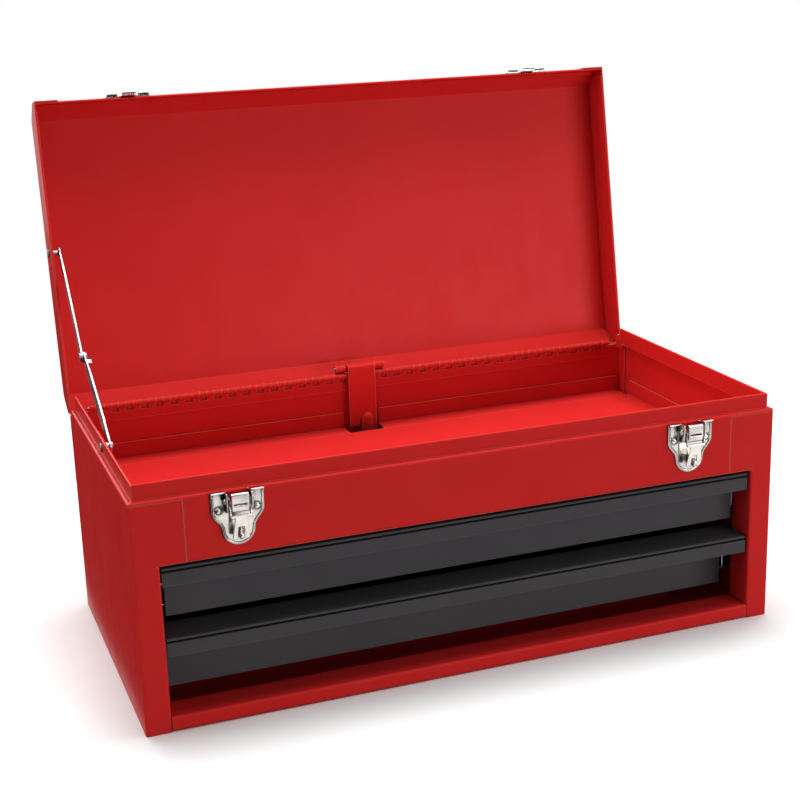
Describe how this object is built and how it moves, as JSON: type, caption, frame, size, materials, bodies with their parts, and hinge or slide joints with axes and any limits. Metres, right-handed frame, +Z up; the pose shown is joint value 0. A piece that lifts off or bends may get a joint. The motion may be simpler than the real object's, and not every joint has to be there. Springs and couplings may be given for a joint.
{
  "type": "portable tool box with drawers",
  "caption": "Folded steel tool box with a lid on a piano hinge and folding stay, a top tray, sliding drawers with full width pulls, draw latches, a drawer lock strap and a carrying handle.",
  "frame": {"origin": "middle of the base's underside, on the floor", "axes": "+Z up, +X to the right along the body's width, -Y towards the front with the latches and the drawers"},
  "size_m": [0.5212, 0.3361, 0.4334],
  "materials": {
    "red_paint": "glossy red enamel",
    "drawer_paint": "satin charcoal enamel",
    "nickel_steel": "bright nickel plating",
    "zinc_steel": "bright zinc plating",
    "grip_black": "matt black moulding"
  },
  "bodies": {
    "box": {"side_panel_left": "red_paint", "side_panel_right": "red_paint", "back_panel": "red_paint", "front_panel": "red_paint", "base_panel": "red_paint", "tray_floor": "red_paint", "tray_ledge_left": "red_paint", "tray_ledge_right": "red_paint", "runner_upper_left": "zinc_steel", "runner_upper_right": "zinc_steel", "runner_lower_left": "zinc_steel", "runner_lower_right": "zinc_steel", "hinge_body_leaf": "red_paint", "hinge_pin": "zinc_steel", "stay_body_pin": "zinc_steel", "latch_base_left": "nickel_steel", "latch_base_right": "nickel_steel", "latch_rivets": "nickel_steel", "lever_pivots": "nickel_steel"},
    "lid": {"lid_panel": "red_paint", "lid_end_left": "red_paint", "lid_end_right": "red_paint", "hinge_lid_leaf": "red_paint", "catch_left": "nickel_steel", "catch_right": "nickel_steel", "catch_rivets": "nickel_steel", "stay_lid_pin": "zinc_steel", "lock_bracket": "red_paint", "lock_pin": "zinc_steel", "handle_bracket_left": "zinc_steel", "handle_bracket_right": "zinc_steel"},
    "handle": {"handle_bail": "zinc_steel", "handle_grip": "grip_black"},
    "stay_lower": {"stay_lower_arm": "zinc_steel", "elbow_rivet_lower": "zinc_steel"},
    "stay_upper": {"stay_upper_arm": "zinc_steel", "elbow_rivet_upper": "zinc_steel"},
    "strap": {"lock_strap": "red_paint"},
    "drawer_upper": {"drawer_upper_pan": "drawer_paint", "drawer_upper_front": "drawer_paint", "slide_upper_left": "zinc_steel", "slide_upper_right": "zinc_steel"},
    "drawer_lower": {"drawer_lower_pan": "drawer_paint", "drawer_lower_front": "drawer_paint", "slide_lower_left": "zinc_steel", "slide_lower_right": "zinc_steel"},
    "lever_left": {"latch_lever_left": "nickel_steel", "claw_pin_left": "nickel_steel"},
    "lever_right": {"latch_lever_right": "nickel_steel", "claw_pin_right": "nickel_steel"},
    "claw_left": {"latch_claw_left": "nickel_steel"},
    "claw_right": {"latch_claw_right": "nickel_steel"}
  },
  "joints": [
    {"name": "lid_hinge", "type": "hinge", "parent": "box", "child": "lid", "pos_m": [0, 0.1246, 0.177], "axis": [1, 0, 0], "range_deg": [0, 99.5]},
    {"name": "stay_lower_pivot", "type": "hinge", "parent": "box", "child": "stay_lower", "pos_m": [-0.25, -0.00822, 0.184], "axis": [1, 0, 0], "range_deg": [-29.48, 0]},
    {"name": "stay_upper_pivot", "type": "hinge", "parent": "lid", "child": "stay_upper", "pos_m": [-0.25, 0.16391, 0.30406], "axis": [1, 0, 0], "range_deg": [0, 29.48]},
    {"name": "strap_pivot", "type": "hinge", "parent": "lid", "child": "strap", "pos_m": [-0.003, 0.12666, 0.18325], "axis": [1, 0, 0], "range_deg": [-99.5, 0]},
    {"name": "handle_pivot", "type": "hinge", "parent": "lid", "child": "handle", "pos_m": [0, 0.18511, 0.29321], "axis": [1, 0, 0], "range_deg": [-9.5, 170.5]},
    {"name": "drawer_upper_slide", "type": "slide", "parent": "box", "child": "drawer_upper", "axis": [0, -1, 0], "range_m": [0, 0.17]},
    {"name": "drawer_lower_slide", "type": "slide", "parent": "box", "child": "drawer_lower", "axis": [0, -1, 0], "range_m": [0, 0.17]},
    {"name": "lever_left_pivot", "type": "hinge", "parent": "box", "child": "lever_left", "pos_m": [-0.1825, -0.134, 0.1725], "axis": [-1, 0, 0], "range_deg": [0, 100]},
    {"name": "lever_right_pivot", "type": "hinge", "parent": "box", "child": "lever_right", "pos_m": [0.1825, -0.134, 0.1725], "axis": [-1, 0, 0], "range_deg": [0, 100]},
    {"name": "claw_left_pivot", "type": "hinge", "parent": "lever_left", "child": "claw_left", "pos_m": [-0.1825, -0.1365, 0.1665], "axis": [-1, 0, 0], "range_deg": [-120, 0]},
    {"name": "claw_right_pivot", "type": "hinge", "parent": "lever_right", "child": "claw_right", "pos_m": [0.1825, -0.1365, 0.1665], "axis": [-1, 0, 0], "range_deg": [-120, 0]}
  ],
  "couplings": [
    {"joint": "stay_lower_pivot", "follows": "lid_hinge", "ratio": -0.29328},
    {"joint": "stay_upper_pivot", "follows": "lid_hinge", "ratio": 0.29328},
    {"joint": "strap_pivot", "follows": "lid_hinge", "ratio": -1},
    {"joint": "claw_left_pivot", "follows": "lever_left_pivot", "ratio": -1},
    {"joint": "claw_right_pivot", "follows": "lever_right_pivot", "ratio": -1}
  ]
}
